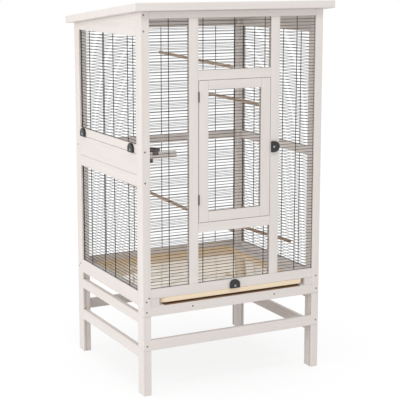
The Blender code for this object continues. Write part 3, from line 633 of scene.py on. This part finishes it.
def bed_finish(board, wash):
    """Brown hardboard between the ledges, and washed timber on the ledges and cheeks."""
    finish = Finish("bed_board")
    place = finish.node("ShaderNodeTexCoord")
    parts = finish.node("ShaderNodeSeparateXYZ")
    finish.join(place, "Object", parts, "Vector")
    size = finish.node("ShaderNodeMath", operation="ABSOLUTE")
    finish.join(parts, "X", size, 0)
    outside = finish.node("ShaderNodeMath", operation="GREATER_THAN")
    finish.join(size, "Value", outside, 0)
    outside.inputs[1].default_value = LEDGE_INNER_X
    flecks = finish.noise(finish.coordinates(), 260.0, 5.0, 0.7)
    brown = finish.mix(flecks, "Fac", board, tuple(1.7 * part for part in board))
    fibres = finish.noise(finish.coordinates(across("Y", 4.0, 150.0)), 1.0, 5.0, 0.6)
    pale = finish.mix(fibres, "Fac", wash, tuple(0.82 * part for part in wash))
    whole = finish.mix(outside, "Value", brown.outputs[2], pale.outputs[2])
    finish.links.new(whole.outputs[2], finish.shader.inputs["Base Color"])
    gloss = finish.spread(flecks, "Fac", 0.3, 0.7, 0.55, 0.75)
    finish.join(gloss, "Result", finish.shader, "Roughness")
    finish.bump(flecks, "Fac", 0.2, 0.0003)
    return finish.material


def repaint(node, material):
    """Puts a finish on every slot of a solid that stays in view."""
    mesh = frame["nodes"][node].data
    if not mesh.materials:
        mesh.materials.append(material)
    for index in range(len(mesh.materials)):
        mesh.materials[index] = material


# Pieces


class CAGE_OT_timber(bpy.types.Operator):
    """Finishes every timber with grain along its own length"""

    bl_idname = "cage.timber"
    bl_label = "Timber"

    def execute(self, context):
        timber = context.scene.cage_timber
        seed = 0
        for axis, names in GRAIN.items():
            for name in names:
                seed += 1
                tone = 1.0 - TONE_SPREAD * (seed * TONE_STEP % 1.0)
                wash = tuple(tone * part for part in timber.wash)
                material = wood_finish(
                    "washed_" + name,
                    axis,
                    wash,
                    tuple(timber.grain),
                    timber.strength,
                    timber.roughness,
                    seed,
                )
                repaint(name, material)
        return {"FINISHED"}


class CAGE_OT_wires(bpy.types.Operator):
    """Replaces each wire panel with cross wires, two edge wires and the uprights outside them"""

    bl_idname = "cage.wires"
    bl_label = "Wire Panels"

    def execute(self, context):
        wires = context.scene.cage_wires
        material = wire_finish(tuple(wires.coat))
        for node, (wall, uprights) in PANELS.items():
            low, high = (np.array(corner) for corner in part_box(node))
            along, depth = (0, 1) if wall in ("front", "back") else (1, 0)
            inwards = 1.0 if wall in ("front", "left") else -1.0
            inner = high[depth] if inwards > 0 else low[depth]
            outer = low[depth] if inwards > 0 else high[depth]
            cross_depth = inner - inwards * wires.cross_radius
            step = wires.cross_radius + wires.upright_radius - WIRE_WELD
            outmost = inwards * outer + wires.upright_radius
            upright_depth = inwards * max(inwards * (cross_depth - inwards * step), outmost)

            def wire_ends(us, vs, depths):
                """Points at (along the wall, depth, height)."""
                points = np.zeros((len(us), 3))
                points[:, along], points[:, depth], points[:, 2] = us, depths, vs
                return points

            bottom, top = low[2] + PANEL_SEAT, high[2] - PANEL_SEAT
            count = round((top - bottom) / WIRE_PITCH)
            heights = np.linspace(bottom, top, count + 1)
            side = wires.edge_radius
            cross = rods(
                wire_ends(np.full(count + 1, low[along] + side), heights, cross_depth),
                wire_ends(np.full(count + 1, high[along] - side), heights, cross_depth),
                wires.cross_radius,
                CROSS_WIRE_SIDES,
            )
            edges = np.array([low[along] + side, high[along] - side])
            edge = rods(
                wire_ends(edges, [low[2], low[2]], cross_depth),
                wire_ends(edges, [high[2], high[2]], cross_depth),
                side,
                CROSS_WIRE_SIDES,
            )
            middle = (low[along] + high[along]) / 2
            places = np.array([middle if place is None else place for place in uprights])
            ends = np.full(len(places), low[2]), np.full(len(places), high[2])
            upright = rods(
                wire_ends(places, ends[0], upright_depth),
                wire_ends(places, ends[1], upright_depth),
                wires.upright_radius,
                UPRIGHT_SIDES,
            )
            body = frame["nodes"][node]["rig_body"]
            grids = [cross, edge, upright]
            panel = add_piece(node + "_wires", grids, body, material, WIRE_SHARP)
            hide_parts(node)
        return {"FINISHED"}


def latch_reach(corner, inset, half_width, rise):
    """Distance from the screw to a D's edge for evenly spaced angles.

    The D is a half circle on a short stem with a flat foot and rounded corners, drawn in by the
    inset.
    """
    half, foot = half_width - inset, LATCH_FOOT - inset
    round_off = max(corner - inset, 0.0004)
    quarter = np.linspace(0.0, np.pi / 2, 24)
    cap = np.linspace(0.0, np.pi, 90)
    left = np.pi + quarter
    right = 1.5 * np.pi + quarter
    xs = np.concatenate(
        [
            half * np.cos(cap),
            -half + round_off + round_off * np.cos(left),
            half - round_off + round_off * np.cos(right),
        ]
    )
    ys = np.concatenate(
        [
            rise + half * np.sin(cap),
            -foot + round_off + round_off * np.sin(left),
            -foot + round_off + round_off * np.sin(right),
        ]
    )
    spots = np.linspace(0.0, 1.0, 12, endpoint=False)
    nexts_x, nexts_y = np.roll(xs, -1), np.roll(ys, -1)
    xs = (xs[:, None] + (nexts_x - xs)[:, None] * spots).ravel()
    ys = (ys[:, None] + (nexts_y - ys)[:, None] * spots).ravel()
    bearing, distance = np.arctan2(ys, xs) % (2 * np.pi), np.hypot(xs, ys)
    order = np.argsort(bearing)
    angle = np.linspace(0.0, 2 * np.pi, LATCH_SIDES, endpoint=False)
    return np.interp(angle, bearing[order], distance[order], period=2 * np.pi)


def latch_grid(fittings, half_width, rise, thickness, place):
    """A D with a dish round its screw: rings of the D's edge, each drawn in and raised.

    From the back: a small slope, the side, a quarter circle over the front edge, the flat front,
    and the dish's wall and floor.
    """
    edge = fittings.edge
    bend = np.linspace(0.0, np.pi / 2, 6)[1:]
    insets = [LATCH_BACK_EDGE, 0.0, 0.0, *(edge * (1 - np.cos(bend))), edge * 1.3]
    heights = [0.0, LATCH_BACK_EDGE, thickness - edge]
    heights += [*(thickness - edge + edge * np.sin(bend)), thickness]
    radii = [latch_reach(fittings.corner, inset, half_width, rise) for inset in insets]
    radii += [np.full(LATCH_SIDES, fittings.dish_radius + step) for step in DISH_EDGE_STEPS]
    heights += [thickness, thickness - DISH_EDGE_HEIGHT, thickness - fittings.dish_depth]
    return rings(np.array(radii), np.array(heights), place)


def cross_recess(radius, count):
    """A cross recess: the radius swells in four lobes.

    It is the full radius times 0.38 plus 0.62 times the sixth power of the cosine of twice the
    angle.
    """
    angle = np.linspace(0.0, 2 * np.pi, count, endpoint=False)
    return radius * (0.38 + 0.62 * np.abs(np.cos(2 * angle)) ** 6)


def screw_grid(radius, height, place, count):
    """A pan head: a low dome by a quarter ellipse, with a cross recess sunk into its middle."""
    bend = np.linspace(0.0, np.pi / 2 * SCREW_DOME, 6)
    radii = [np.full(count, radius)]
    radii += [np.full(count, radius * np.cos(turn) ** 0.8) for turn in bend]
    heights = [-height] + list(height * np.sin(bend))
    top = heights[-1]
    mouth = cross_recess(radius * RECESS_SHARE, count)
    radii += [mouth * step for step in RECESS_STEPS]
    heights += [top, top - DISH_EDGE_HEIGHT, top - height * RECESS_DEPTH]
    return rings(np.array(radii), np.array(heights), place)


class CAGE_OT_latches(bpy.types.Operator):
    """Replaces the turn latches with rounded mouldings, each with a dish and a bright screw"""

    bl_idname = "cage.latches"
    bl_label = "Turn Latches"

    def execute(self, context):
        fittings = context.scene.cage_fittings
        moulding = moulded_finish("latch_moulding", tuple(fittings.moulding), 0.30, 0.50)
        steel = steel_finish("latch_screw_steel", tuple(fittings.steel), 0.22, 0.40)
        joints = {joint["child"]: joint for joint in frame["joints"]}
        for node, (wall, quarter_turns) in LATCHES.items():
            body = frame["nodes"][node]["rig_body"]
            axis_point = np.array(joints[body]["pos_m"])
            low, high = (np.array(corner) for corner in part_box(node))
            turn = wall_turn(wall)
            outwards = np.array(turn.col[2])
            depth = int(np.argmax(np.abs(outwards)))
            front = low[depth] if outwards[depth] < 0 else high[depth]
            face = WALL_FACES[wall]
            thickness = abs(front - face) - LATCH_GAP
            sizes = sorted(high - low)
            half_width = sizes[2] / 2
            rise = sizes[1] - LATCH_FOOT - half_width

            back = axis_point.copy()
            back[depth] = face + outwards[depth] * LATCH_GAP
            spin = Matrix.Rotation(-math.pi / 2 * quarter_turns, 3, "Z")
            place = Matrix.Translation(back.tolist()) @ (turn @ spin).to_4x4()
            grid = latch_grid(fittings, half_width, rise, thickness, place)
            latch = add_piece(node + "_moulding", [grid], body, moulding, FITTING_SHARP)
            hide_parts(node)
            head = place @ Matrix.Translation((0.0, 0.0, thickness - fittings.dish_depth))
            dome = fittings.dish_depth * LATCH_SCREW_RISE
            screw = screw_grid(fittings.screw_radius, dome, head, LATCH_SCREW_SIDES)
            add_piece(node + "_screw", [screw], body, steel, FITTING_SHARP)
        return {"FINISHED"}


class CAGE_OT_screws(bpy.types.Operator):
    """Adds the small timber screws, sunk flush into posts and rails"""

    bl_idname = "cage.screws"
    bl_label = "Timber Screws"

    def execute(self, context):
        tint = tuple(context.scene.cage_fittings.screw_steel)
        steel = steel_finish("timber_screw_steel", tint, 0.30, 0.50)
        radius = context.scene.cage_timber.screw_radius
        grids = []
        for number, (wall, along, height) in enumerate(SCREWS):
            turn = wall_turn(wall)
            face = WALL_FACES[wall]
            point = (along, face, height) if wall in ("front", "back") else (face, along, height)
            spin = Matrix.Rotation(number * TIMBER_SCREW_TURN, 3, "Z")
            place = Matrix.Translation(point) @ (turn @ spin).to_4x4()
            grids.append(screw_grid(radius, TIMBER_SCREW_RISE, place, TIMBER_SCREW_SIDES))
        add_piece("timber_screws", grids, "cage", steel, FITTING_SHARP)
        return {"FINISHED"}


class CAGE_OT_hinges(bpy.types.Operator):
    """Finishes the door's two small hinges in dull plated steel"""

    bl_idname = "cage.hinges"
    bl_label = "Door Hinges"

    def execute(self, context):
        tint = tuple(context.scene.cage_fittings.hinge_steel)
        steel = steel_finish("hinge_steel", tint, 0.38, 0.56)
        for name in HINGE_LEAVES:
            repaint(name, steel)
        return {"FINISHED"}


def tray_outline(low, high, inset, front_corner, back_corner):
    """The tray's plan, drawn in by an inset: four arcs joined by straight sides."""
    x0, x1, y0, y1 = low[0] + inset, high[0] - inset, low[1] + inset, high[1] - inset
    near = max(front_corner - inset, TRAY_LEAST_CORNER)
    far = max(back_corner - inset, TRAY_LEAST_CORNER)
    turn = np.linspace(0.0, np.pi / 2, TRAY_CORNER_STEPS)
    corners = (
        (x0 + near, y0 + near, near, np.pi),
        (x1 - near, y0 + near, near, 1.5 * np.pi),
        (x1 - far, y1 - far, far, 0.0),
        (x0 + far, y1 - far, far, 0.5 * np.pi),
    )
    parts = [
        np.stack([x + size * np.cos(start + turn), y + size * np.sin(start + turn)], axis=-1)
        for x, y, size, start in corners
    ]
    return np.concatenate(parts)


def tray_grid(tray, low, high):
    """The tray's skin as rings of its plan, each with its own inset and height.

    Outside a quarter circle runs round the bottom edge, then a half circle over the rim, and
    inside a quarter circle runs down to the floor.
    """
    bend, over = np.linspace(0.0, np.pi / 2, 6), np.linspace(0.0, np.pi, 9)
    edge, rim = tray.bottom_edge, tray.wall / 2
    inside = edge - rim
    insets = [
        edge * (1 - np.sin(bend)),
        rim * (1 - np.cos(over)),
        tray.wall + inside * (1 - np.cos(bend)),
    ]
    heights = [
        low[2] + edge * (1 - np.cos(bend)),
        high[2] - rim + rim * np.sin(over),
        low[2] + tray.floor + inside * (1 - np.sin(bend)),
    ]
    grid = []
    for inset, height in zip(np.concatenate(insets), np.concatenate(heights)):
        plan = tray_outline(low, high, inset, tray.front_corner, tray.back_corner)
        grid.append(np.column_stack([plan, np.full(len(plan), height)]))
    return np.array(grid)[None]


class CAGE_OT_tray(bpy.types.Operator):
    """Replaces the tray with a thin moulding, round at bottom edge and rim, and finishes its bed"""

    bl_idname = "cage.tray"
    bl_label = "Tray"

    def execute(self, context):
        tray = context.scene.cage_tray
        low, high = (np.array(corner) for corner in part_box("tray"))
        grid = tray_grid(tray, low, high)
        material = tray_finish(tuple(tray.plastic))
        piece = add_piece("tray_moulding", [grid], "tray", material, ROUND_SHARP)
        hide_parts("tray")
        wash = tuple(context.scene.cage_timber.wash)
        repaint("tray_bed", bed_finish(tuple(tray.board), wash))
        return {"FINISHED"}


def rod_ends(low, high, radius, lean):
    """Middle points of a slanting rod's square ends, found from the rod's box.

    Along each axis the box is the rod's run and, on both sides together, twice the radius times the
    sine of the angle between the rod and that axis. A few corrections solve the run.
    """
    size = high - low
    run = size
    for _ in range(12):
        heading = run / np.linalg.norm(run)
        run = np.maximum(size - 2 * radius * np.sqrt(1 - heading**2), 0.0)
    middle = (low + high) / 2
    return middle - run / 2 * lean, middle + run / 2 * lean


class CAGE_OT_perches(bpy.types.Operator):
    """Replaces the perches with round rods of plain wood, each with its own mix of pale and dark"""

    bl_idname = "cage.perches"
    bl_label = "Perches"

    def execute(self, context):
        inside = context.scene.cage_inside
        pale, dark = np.array(inside.perch), np.array(inside.heartwood)
        for number, (node, share_dark) in enumerate(PERCHES.items()):
            low, high = (np.array(corner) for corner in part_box(node))
            start, end = rod_ends(low, high, inside.perch_radius, np.array(PERCH_LEAN))
            run = (end - start) / np.linalg.norm(end - start)
            material = wood_finish(
                "bare_" + node,
                "Y",
                tuple(pale + (dark - pale) * share_dark * 0.7),
                tuple(pale + (dark - pale) * min(1.0, share_dark + 0.3)),
                PERCH_GRAIN_STRENGTH,
                PERCH_ROUGHNESS,
                PERCH_FIRST_SEED + number,
                (math.asin(run[2]), 0.0, math.atan2(-run[0], run[1])),
            )
            grid = turned(start, end, inside.perch_radius, inside.end_round, PERCH_SIDES)
            body = frame["nodes"][node]["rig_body"]
            piece = add_piece(node + "_rod", [grid], body, material, ROUND_SHARP)
            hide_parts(node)
        return {"FINISHED"}


def cup_bowl(inside, top, place):
    """A round bowl on a foot: rings whose radius and height follow a quarter ellipse.

    The ellipse runs upwards outside, a half circle leads over the lip, and the ellipse runs
    downwards inside.
    """
    rim, foot, wall = inside.cup_radius, inside.cup_foot, inside.cup_wall
    bowl, base = top - CUP_BOWL_DEPTH, top - CUP_HEIGHT
    bend = np.linspace(0.0, np.pi / 2, 12)
    over = np.linspace(0.0, np.pi, 7)[1:-1]
    outside = foot + (rim - foot) * np.sin(bend)
    climb = bowl + (top - bowl - wall / 2) * (1 - np.cos(bend))
    radii = [
        np.array([foot - CUP_FOOT_EDGE, foot]),
        outside,
        rim - wall / 2 + wall / 2 * np.cos(over),
        outside[::-1] - wall,
    ]
    heights = [
        np.array([base, base + CUP_FOOT_EDGE]),
        climb,
        top - wall / 2 + wall / 2 * np.sin(over),
        climb[::-1] + wall * np.cos(bend[::-1]),
    ]
    radii = np.repeat(np.concatenate(radii)[:, None], CUP_SIDES, axis=1)
    return rings(radii, np.concatenate(heights), place)


def cup_hook(middle_x, low, high, top, wall):
    """A bent strip over the bar: its outline in depth and height, drawn out sideways."""
    back, front = high[1] + wall, low[1] - CUP_HOOK_GAP
    seat = high[2] + CUP_HOOK_GAP
    outline = np.array(
        [
            (back, top - CUP_HOOK_BACK_DROP),
            (back, seat + wall),
            (front - wall, seat + wall),
            (front - wall, high[2] - CUP_HOOK_DROP),
            (front, high[2] - CUP_HOOK_DROP),
            (front, seat),
            (high[1], seat),
            (high[1], top - CUP_HOOK_BACK_DROP),
        ]
    )
    sides = middle_x + np.array([-0.5, 0.5]) * CUP_HOOK_WIDTH
    ends = [np.column_stack([np.full(len(outline), side), outline]) for side in sides]
    return np.stack(ends)[None]


class CAGE_OT_cup(bpy.types.Operator):
    """Adds the dark feeding cup on the feeding bar: a round bowl on a foot, with a hook"""

    bl_idname = "cage.cup"
    bl_label = "Feeding Cup"

    def execute(self, context):
        inside = context.scene.cage_inside
        low, high = (np.array(corner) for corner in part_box("feeding_bar"))
        middle_x = low[0] + CUP_FROM_HATCH
        top = high[2] + CUP_ABOVE_BAR
        middle = Matrix.Translation((middle_x, high[1] + inside.cup_radius, 0.0))
        cup = cup_bowl(inside, top, middle)
        hook = cup_hook(middle_x, low, high, top, inside.cup_wall)
        material = moulded_finish("cup_moulding", tuple(inside.cup), 0.14, 0.30)
        add_piece("feeding_cup", [cup, hook], "hatch", material, ROUND_SHARP)
        return {"FINISHED"}


# Stage


def seen_directly(tree):
    """1 for what is seen directly or by way of gloss or glass, and 0 for light on its way."""
    path = tree.nodes.new("ShaderNodeLightPath")
    seen = path.outputs["Is Camera Ray"]
    for ray in ("Is Glossy Ray", "Is Transmission Ray"):
        larger = tree.nodes.new("ShaderNodeMath")
        larger.operation = "MAXIMUM"
        tree.links.new(seen, larger.inputs[0])
        tree.links.new(path.outputs[ray], larger.inputs[1])
        seen = larger.outputs[0]
    return seen


class CAGE_OT_stage(bpy.types.Operator):
    """Sets the pale floor, the two studio lamps, the white surroundings and the camera"""

    bl_idname = "cage.stage"
    bl_label = "Stage"

    def execute(self, context):
        scene, studio = context.scene, context.scene.cage_studio
        self.floor(studio)
        self.surroundings(scene, studio)
        self.lamp("key_light", studio.key, KEY_SIZE, KEY_PLACE)
        self.lamp("side_light", studio.side, SIDE_SIZE, SIDE_PLACE)
        data = bpy.data.cameras.new("photo_camera")
        data.sensor_width = SENSOR_WIDTH
        data.lens = studio.lens
        data.shift_y = CAMERA_SHIFT
        camera = bpy.data.objects.new("photo_camera", data)
        scene.collection.objects.link(camera)
        camera.location = CAMERA_PLACE
        camera.rotation_euler = (math.radians(90.0 - CAMERA_DOWN), 0.0, math.radians(CAMERA_TURN))
        scene.camera = camera
        scene.view_settings.view_transform = "Standard"
        return {"FINISHED"}

    @staticmethod
    def floor(studio):
        """A flat square just under the feet: its corners are half a side times -1 or 1."""
        xs, ys = np.meshgrid([-FLOOR_HALF, FLOOR_HALF], [-FLOOR_HALF, FLOOR_HALF])
        points = np.stack([xs.ravel(), ys.ravel(), np.full(4, -FLOOR_DROP)], axis=-1)
        mesh = bpy.data.meshes.new("studio_floor")
        mesh.from_pydata(points.tolist(), [], [(0, 1, 3, 2)])
        floor = bpy.data.objects.new("studio_floor", mesh)
        bpy.context.scene.collection.objects.link(floor)
        finish = Finish("studio_floor")
        finish.shader.inputs["Base Color"].default_value = (*studio.floor, 1.0)
        finish.shader.inputs["Roughness"].default_value = 0.9
        finish.shader.inputs["Specular IOR Level"].default_value = 0.0

        # The floor is seen white, with a share of its shading and shadow near the cage only
        place = finish.node("ShaderNodeTexCoord")
        far = finish.node("ShaderNodeVectorMath", operation="LENGTH")
        finish.join(place, "Object", far, "Vector")
        plain = 1.0 - studio.shadow
        white_share = finish.spread(far, "Value", SHADOW_NEAR, SHADOW_FAR, plain, 1.0)
        factor = finish.node("ShaderNodeMath", operation="MULTIPLY")
        finish.links.new(seen_directly(finish.material.node_tree), factor.inputs[0])
        finish.join(white_share, "Result", factor, 1)
        white = finish.node("ShaderNodeEmission")
        white.inputs["Color"].default_value = (1.0, 1.0, 1.0, 1.0)
        white.inputs["Strength"].default_value = studio.white
        mix = finish.node("ShaderNodeMixShader")
        finish.join(factor, "Value", mix, 0)
        finish.join(finish.shader, "BSDF", mix, 1)
        finish.join(white, "Emission", mix, 2)
        finish.join(mix, "Shader", finish.nodes["Material Output"], "Surface")
        mesh.materials.append(finish.material)

    @staticmethod
    def surroundings(scene, studio):
        world = bpy.data.worlds.new("studio")
        world.use_nodes = True
        scene.world = world
        tree = world.node_tree
        soft = tree.nodes["Background"]
        soft.inputs["Color"].default_value = (1.0, 1.0, 1.0, 1.0)
        soft.inputs["Strength"].default_value = studio.ambient
        white = tree.nodes.new("ShaderNodeBackground")
        white.inputs["Color"].default_value = (1.0, 1.0, 1.0, 1.0)
        mix = tree.nodes.new("ShaderNodeMixShader")
        tree.links.new(seen_directly(tree), mix.inputs[0])
        tree.links.new(soft.outputs[0], mix.inputs[1])
        tree.links.new(white.outputs[0], mix.inputs[2])
        tree.links.new(mix.outputs[0], tree.nodes["World Output"].inputs["Surface"])

    @staticmethod
    def lamp(name, power, size, place):
        data = bpy.data.lights.new(name, "AREA")
        data.energy = power
        data.size = size
        lamp = bpy.data.objects.new(name, data)
        bpy.context.scene.collection.objects.link(lamp)
        lamp.location = place
        towards = np.array(LAMP_AIM) - np.array(place)
        lamp.rotation_euler = (
            math.atan2(math.hypot(towards[0], towards[1]), -towards[2]),
            0.0,
            math.atan2(towards[1], towards[0]) - math.pi / 2,
        )


OPERATORS = (
    CAGE_OT_timber,
    CAGE_OT_wires,
    CAGE_OT_latches,
    CAGE_OT_screws,
    CAGE_OT_hinges,
    CAGE_OT_tray,
    CAGE_OT_perches,
    CAGE_OT_cup,
    CAGE_OT_stage,
)

GROUPS = {
    "cage_timber": CageTimber,
    "cage_wires": CageWires,
    "cage_fittings": CageFittings,
    "cage_tray": CageTray,
    "cage_inside": CageInside,
    "cage_studio": CageStudio,
}


class CAGE_PT_panel(bpy.types.Panel):
    """Lists the pieces of the cage with their sizes and colours"""

    bl_idname = "CAGE_PT_panel"
    bl_label = "Bird Cage"
    bl_space_type = "VIEW_3D"
    bl_region_type = "UI"
    bl_category = "Bird Cage"

    def draw(self, context):
        for name, group in GROUPS.items():
            box = self.layout.box()
            for field in group.__annotations__:
                box.prop(getattr(context.scene, name), field)
        for operator in OPERATORS:
            self.layout.operator(operator.bl_idname)


def register():
    for group in GROUPS.values():
        bpy.utils.register_class(group)
    for operator in OPERATORS:
        bpy.utils.register_class(operator)
    bpy.utils.register_class(CAGE_PT_panel)
    for name, group in GROUPS.items():
        setattr(bpy.types.Scene, name, bpy.props.PointerProperty(type=group))


def unregister():
    for name in GROUPS:
        delattr(bpy.types.Scene, name)
    bpy.utils.unregister_class(CAGE_PT_panel)
    for operator in reversed(OPERATORS):
        bpy.utils.unregister_class(operator)
    for group in reversed(list(GROUPS.values())):
        bpy.utils.unregister_class(group)


def main():
    register()
    for operator in OPERATORS:
        group, name = operator.bl_idname.split(".")
        getattr(getattr(bpy.ops, group), name)()


if __name__ == "__main__":
    main()
